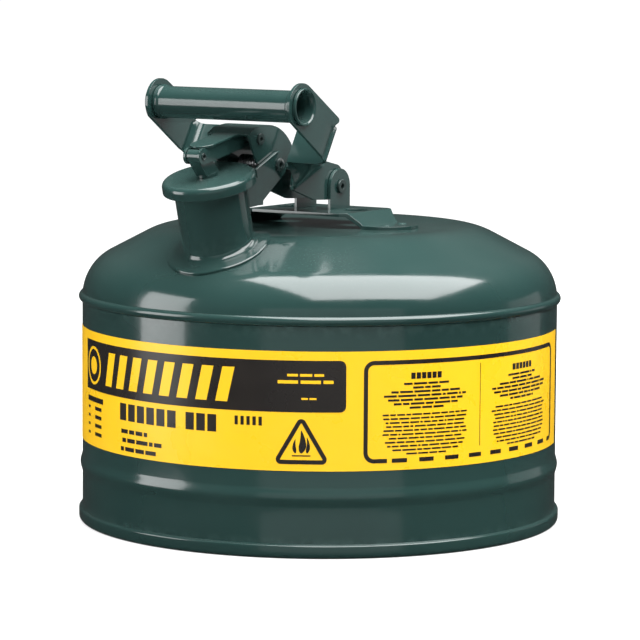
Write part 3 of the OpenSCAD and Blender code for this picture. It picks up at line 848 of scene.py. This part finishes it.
rubber, tree, shader = finish_named("gasket_rubber")
vector = object_vector(tree)
bloom = span(tree, noise(tree, vector, 80.0, 5.0, 0.6), 0.4, 0.7)
tree.links.new(blend_colors(tree, bloom, (0.013, 0.013, 0.013), (0.032, 0.032, 0.031)),
               shader.inputs["Base Color"])
tree.links.new(span(tree, bloom, 0.0, 1.0, 0.5, 0.72), shader.inputs["Roughness"])
bump(tree, shader, noise(tree, vector, 1500.0, 3.0), 0.2, 0.0002)
gasket_out = tube_r + 3 * mm
gasket_in = bore_r - 5 * mm
low = 0.1 * mm
gasket = rounded([
    (gasket_in, low, 0.5 * mm), (gasket_out, low, 0.7 * mm), (gasket_out, low + gasket_t, 0.7 * mm),
    (gasket_in, low + gasket_t, 0.5 * mm),
], 6)
dress(make("gasket", [lathe(gasket, 128, at_mouth)]), rubber, "cap", "gasket_rubber", "cap_gasket")
soft_copy("retainer", "gasket_retainer", 0.5 * mm, bright_steel, "cap", "bare_steel")
soft_copy("stud", "cap_stud", 0.45 * mm, green, "lid", "green_paint")
soft_copy("cross_pin", "cap_pin", 0.25 * mm, pin_steel, "lid", "pin_steel")


# ---------- lid lever ----------
# A folded steel hood turns on a pin between the bracket's ears and reaches forward as an arm to
# the cap. A strip is riveted along its top.

soft_copy("lever", "lid_lever", 0.5 * mm, green, "lid", "green_paint")
soft_copy("top_strip", "lever_strip", 0.5 * mm, green, "lid", "green_paint")
soft_copy("lever_rivet", "hood_rivet", 0.3 * mm, pin_steel, "lid", "pin_steel")
soft_copy("ear_bracket", "spout_bracket", 0.6 * mm, green, "can", "green_paint")
soft_copy("pivot_rivet", "lever_pin", 0.35 * mm, pin_steel, "can", "pin_steel")


# ---------- lid spring ----------
# A torsion spring of hard steel wire sits round the lever's pin and snaps the lid shut. One leg
# bears on the hood and the other on the bracket.

lever_joint = next(j for j in frame["joints"] if j["name"] == "lid_open")
pivot = np.array(lever_joint["pos_m"])
wire_r, coil_r, coils = 0.9 * mm, 4.6 * mm, 9
pitch = 2.05 * mm


def swept(path, radius, sides=12):
    """A round wire along a path: rings at right angles to the path's direction, each turned as
    little as possible from the one before, and closed at both ends by a point."""
    path = np.asarray(path, float)
    d = np.gradient(path, axis=0)
    d /= np.linalg.norm(d, axis=1, keepdims=True)
    side = np.cross(d, [1.0, 0.05, 0.02])
    side /= np.linalg.norm(side, axis=1, keepdims=True)
    other = np.cross(d, side)
    t = np.linspace(0, 2 * pi, sides, endpoint=False)[:, None, None]
    rings = path + radius * (np.cos(t) * side + np.sin(t) * other)
    rings = np.concatenate([np.broadcast_to(path[:1], rings[:, :1].shape), rings,
                            np.broadcast_to(path[-1:], rings[:, :1].shape)], 1)
    return grid(rings, around=True)


t = np.linspace(0, 2 * pi * coils, 36 * coils)
first = radians(62)
coil = pivot + np.stack([
    pitch * (t / (2 * pi) - coils / 2), coil_r * np.cos(first + t), coil_r * np.sin(first + t),
], 1)


def leg(end, before, length):
    """A straight leg that leaves the coil's end along its own direction."""
    d = end - before
    d /= np.linalg.norm(d)
    return end + d * np.linspace(0, length, 8)[1:, None]


front_leg = leg(coil[0], coil[1], 17 * mm)[::-1]
rear_leg = leg(coil[-1], coil[-2], 15 * mm)
spring = make("torsion_spring", [swept(np.concatenate([front_leg, coil, rear_leg]), wire_r)])
dress(spring, bright_steel, "can", "bare_steel", "lid_spring")


# ---------- handle base ----------
# A pressed platform stands on two feet that are projection welded to the dome. Two ears rise
# from it and hold the handle's pin.

soft_copy("base_plate", "handle_base", 0.8 * mm, green, "can", "green_paint", 4)
soft_copy("weld_nubs", "base_welds", 0.3 * mm, green, "can", "green_paint")
soft_copy("handle_rivet", "handle_pin", 0.4 * mm, pin_steel, "handle", "pin_steel")


# ---------- handle yoke ----------
# One heavy sheet is folded into side plates, a web and two panels that run back to a narrow
# neck on the pivot. The grip tube is expanded into its side plates.

handle_joint = next(j for j in frame["joints"] if j["name"] == "handle_swing")
hinge = np.array(handle_joint["pos_m"])[1:]
yoke_t = 2 * mm
grip_half, grip_r = 52 * mm, 9.5 * mm
grip_at = hinge + np.array([-100, 54]) * mm
along = np.array([cos(radians(31)), -sin(radians(31))])
across = np.array([sin(radians(31)), cos(radians(31))])
plate_x = grip_half - yoke_t / 2
plate_long, plate_half, nose_r = 36.5 * mm, 12 * mm, 14 * mm
web_top, web_foot = 7.5 * mm, -15 * mm
bend_r = 6 * mm
web_gap = 22 * mm
neck_x = 10 * mm


def at_grip(a, c):
    """(y, z) of a point a along the side plate and c across it."""
    return grip_at + np.multiply.outer(a, along) + np.multiply.outer(c, across)


def upright(x, yz):
    """Points (x, y, z) from a sheet's x and its (y, z) points."""
    return np.concatenate([np.broadcast_to(np.asarray(x)[..., None], (*yz.shape[:-1], 1)), yz], -1)


def side_plate(s):
    """A ring of sheet from the grip's hole to the plate's outline, in straight rays."""
    back = np.linspace(web_top, web_foot, 12)
    t = np.linspace(radians(248), radians(90), 34)
    nose = nose_r * np.stack([np.cos(t), np.sin(t)], 1)
    top = rounded([(2 * mm, nose_r, 0), (plate_long + 4.2 * mm, plate_half + 1.2 * mm, 4.6 * mm),
                   (plate_long, web_top, 0), (0, 0, 0)], 8)[:-1]
    outline = np.concatenate([nose, top[:-1], np.stack([np.full(12, plate_long), back], 1)])
    outline = np.concatenate([outline, np.linspace(outline[-1], outline[0], 12)[1:-1]])
    ray = outline / np.linalg.norm(outline, axis=1, keepdims=True)
    v = np.linspace(0, 1, 6)[None, :, None]
    local = ray[:, None] * grip_r * (1 - v) + outline[:, None] * v
    local = np.concatenate([local, local[:1]])
    return grid(upright(s * plate_x, at_grip(local[..., 0], local[..., 1])))


def web(s):
    """The bend and the web: across rows carried along a quarter bend and a straight run."""
    t = np.linspace(0, pi / 2, 6)
    x = np.concatenate([plate_x - bend_r + bend_r * np.cos(t), np.linspace(plate_x - bend_r, web_gap, 9)[1:]])
    a = np.concatenate([plate_long + bend_r * np.sin(t), np.full(8, plate_long + bend_r)])
    c = np.linspace(web_top, web_foot, 12)
    yz = grip_at + a[:, None, None] * along + c[None, :, None] * across
    return grid(upright(s * np.repeat(x[:, None], 12, 1), yz)), x[5:], a[-1]


def fold(s, x_row, a_row):
    """The panel below the web: from the web's foot, each point runs to the neck along a curve
    whose sag fades to nothing at both ends."""
    u = ((x_row - x_row[-1]) / (x_row[0] - x_row[-1]))[:, None]
    v = np.linspace(0, 1, 16)[None, :]
    start = upright(x_row, np.broadcast_to(at_grip(a_row, web_foot), (len(x_row), 2)))
    neck_low, neck_high = hinge + np.array([-50, 1.5]) * mm, hinge + np.array([-14, 15]) * mm
    stop = upright(np.full(len(x_row), neck_x), neck_low + (neck_high - neck_low) * u ** 0.9)
    sag = np.array([4.0, 0, -5.5]) * mm * (1 - 0.75 * u[..., None])
    p = start[:, None] + (stop - start)[:, None] * v[..., None] + sag * np.sin(pi * v[..., None])
    p[..., 0] *= s
    return grid(p)


def neck(s):
    """A wall of the neck: straight rays from the pin's hole to the outline."""
    outline = dense(rounded([
        (-12, 16, 2), (-47, 14, 2), (-50, 1, 3), (-25, -7, 8), (-6, -8, 6), (8, -6, 8), (10, 6, 8),
        (2, 13, 6),
    ], 6) * mm, 3 * mm)
    ray = outline / np.linalg.norm(outline, axis=1, keepdims=True)
    v = np.linspace(0, 1, 5)[None, :, None]
    local = ray[:, None] * 3.05 * mm * (1 - v) + outline[:, None] * v
    local = np.concatenate([local, local[:1]])
    return grid(upright(s * neck_x, hinge + local))


v = np.linspace(0, 1, 8)[:, None]
bridge_x = np.linspace(-neck_x, neck_x, 9)[None, :]
bridge_yz = hinge + np.array([-12, 15]) * mm + np.array([-35, -2]) * mm * v
crown = 0.8 * mm * (1 - (bridge_x / neck_x) ** 2)
bridge = np.stack(np.broadcast_arrays(bridge_x, bridge_yz[:, :1], bridge_yz[:, 1:] + crown), -1)
parts = [grid(bridge)]
for s in (-1, 1):
    web_grid, x_row, a_row = web(s)
    parts += [side_plate(s), web_grid, fold(s, x_row, a_row), neck(s)]
yoke = make("yoke", parts, closed=False)
thick = yoke.modifiers.new("sheet", "SOLIDIFY")
thick.thickness = yoke_t
thick.offset = 0.0
bake(yoke, 35)
edge = yoke.modifiers.new("edge", "BEVEL")
edge.width = 0.55 * mm
edge.segments = 3
edge.limit_method = "ANGLE"
edge.angle_limit = radians(50)
edge.harden_normals = True
dress(yoke, green, "handle", "green_paint", "handle_yoke")

# the grip tube: flared and rolled over the side plates, with a swage just inside each
end_x = grip_half + 2.5 * mm
half = [
    (0, 8.0, 0), (end_x - 6 * mm, 8.0, 2), (end_x - 0.9 * mm, 9.3, 0.9), (end_x, 10.0, 0.9),
    (end_x, 11.1, 0.9),
    (end_x - 2.4 * mm, 11.1, 0.9), (end_x - 2.4 * mm, 9.5, 0), (grip_half - yoke_t, 9.5, 0.2),
    (grip_half - yoke_t - 0.4 * mm, 10.3, 1.0), (grip_half - yoke_t - 3.4 * mm, 10.3, 1.2),
    (grip_half - yoke_t - 4.2 * mm, 9.5, 1.0), (0, 9.5, 0),
]
tube_line = rounded([(r * mm, x, q * mm) for x, r, q in half], 6)
mirror = tube_line[::-1] * [1, -1]
place = Matrix.Translation((0, *grip_at)) @ Matrix.Rotation(pi / 2, 4, "Y")
section = np.concatenate([tube_line[1:-1], [[9.5 * mm, 0]], mirror[1:-1], [[8 * mm, 0]]])
grip = make("grip", [lathe(section, 96, place)])
dress(grip, green, "handle", "green_paint", "grip_tube")


# ---------- floor, light and camera ----------
# A plain pale floor with a faint shadow at the can's foot, soft boxes round the can, and a long
# lens at standing distance. The fill lights brighten the paint and leave no reflection in it.

m, tree, shader = finish_named("pale_floor")
cloud = noise(tree, object_vector(tree), 2.0, 2.0)
tree.links.new(blend_colors(tree, cloud, (0.28, 0.28, 0.28), (0.31, 0.31, 0.31)), shader.inputs["Base Color"])
shader.inputs["Roughness"].default_value = 0.9
shader.inputs["Specular IOR Level"].default_value = 0.0
shader.inputs["Emission Color"].default_value = (1, 1, 1, 1)
away = tree.nodes.new("ShaderNodeVectorMath")
away.operation = "LENGTH"
tree.links.new(object_vector(tree), away.inputs[0])
path = tree.nodes.new("ShaderNodeLightPath")
glow = span(tree, away.outputs["Value"], 0.2, 0.9, 0.72, 1.0)
glow = math(tree, "MULTIPLY", path.outputs["Is Camera Ray"], glow)
tree.links.new(glow, shader.inputs["Emission Strength"])
mesh = bpy.data.meshes.new("floor")
reach = 40.0
floor_corners = [(-reach, -reach, 0), (reach, -reach, 0), (reach, reach, 0), (-reach, reach, 0)]
mesh.from_pydata(floor_corners, [], [(0, 1, 2, 3)])
mesh.materials.append(m)
floor = bpy.data.objects.new("floor", mesh)
bpy.context.scene.collection.objects.link(floor)
floor.visible_glossy = False

world = bpy.data.worlds.new("studio")
bpy.context.scene.world = world
world.use_nodes = True
tree = world.node_tree
sky = tree.nodes["Background"]
path = tree.nodes.new("ShaderNodeLightPath")
seen = path.outputs["Is Camera Ray"]
fill, mirror_fill, backdrop = 0.14, 0.045, 1.0
level = math(tree, "ADD", fill, math(tree, "MULTIPLY", path.outputs["Is Glossy Ray"], mirror_fill - fill))
level = math(tree, "ADD", math(tree, "MULTIPLY", level, math(tree, "SUBTRACT", 1.0, seen)), math(
    tree, "MULTIPLY", seen, backdrop))
tree.links.new(level, sky.inputs["Strength"])
sky.inputs["Color"].default_value = (1, 1, 1, 1)

view_turn = radians(33.5)
target = Vector((0, 0, 0.12))


def soft_box(name, bearing, elevation, distance, width, height, power):
    """An area light that faces the can: bearing is measured about the can from the camera's side,
    positive to the camera's right."""
    a = view_turn + radians(bearing)
    e = radians(elevation)
    spot = target + distance * Vector((sin(a) * cos(e), -cos(a) * cos(e), sin(e)))
    light = bpy.data.lights.new(name, "AREA")
    light.shape = "RECTANGLE"
    light.size, light.size_y = width, height
    light.energy = power
    obj = bpy.data.objects.new(name, light)
    obj.location = spot
    obj.rotation_euler = (target - spot).to_track_quat("-Z", "Y").to_euler()
    bpy.context.scene.collection.objects.link(obj)
    return obj


over_box = soft_box("over_box", 51, 57, 1.7, 2.2, 1.9, 102)
over_box.rotation_euler = (0, 0, view_turn + radians(14))
for name, bearing, elevation, power in (
    ("top_fill", 0, 88, 36), ("left_fill", -60, 12, 4.5), ("back_fill", 172, 20, 14),
):
    soft_box(name, bearing, elevation, 1.5, 1.0, 1.0, power).visible_glossy = False
soft_box("front_box", 6, 3, 2.7, 3.6, 1.9, 7.4)
soft_box("left_box", -76, 9.5, 1.05, 0.5, 0.63, 4.7)
soft_box("right_box", 113, 1, 1.5, 0.8, 0.45, 0.45)

cam = bpy.data.cameras.new("camera")
cam.sensor_width = 36
cam.lens = 191.5  # mm
cam.clip_end = 20
camera = bpy.data.objects.new("camera", cam)
stand, side_step, eye = 2.1, 0.00019, 0.364
look_down, tilt = radians(6.538), radians(0.354)
camera.location = (
    stand * sin(view_turn) + side_step * cos(view_turn),
    -stand * cos(view_turn) + side_step * sin(view_turn),
    eye,
)
aim = Euler((pi / 2 - look_down, 0, view_turn)).to_matrix() @ Matrix.Rotation(tilt, 3, "Z")
camera.rotation_euler = aim.to_euler()
bpy.context.scene.collection.objects.link(camera)
bpy.context.scene.camera = camera
bpy.context.scene.view_settings.view_transform = "Standard"
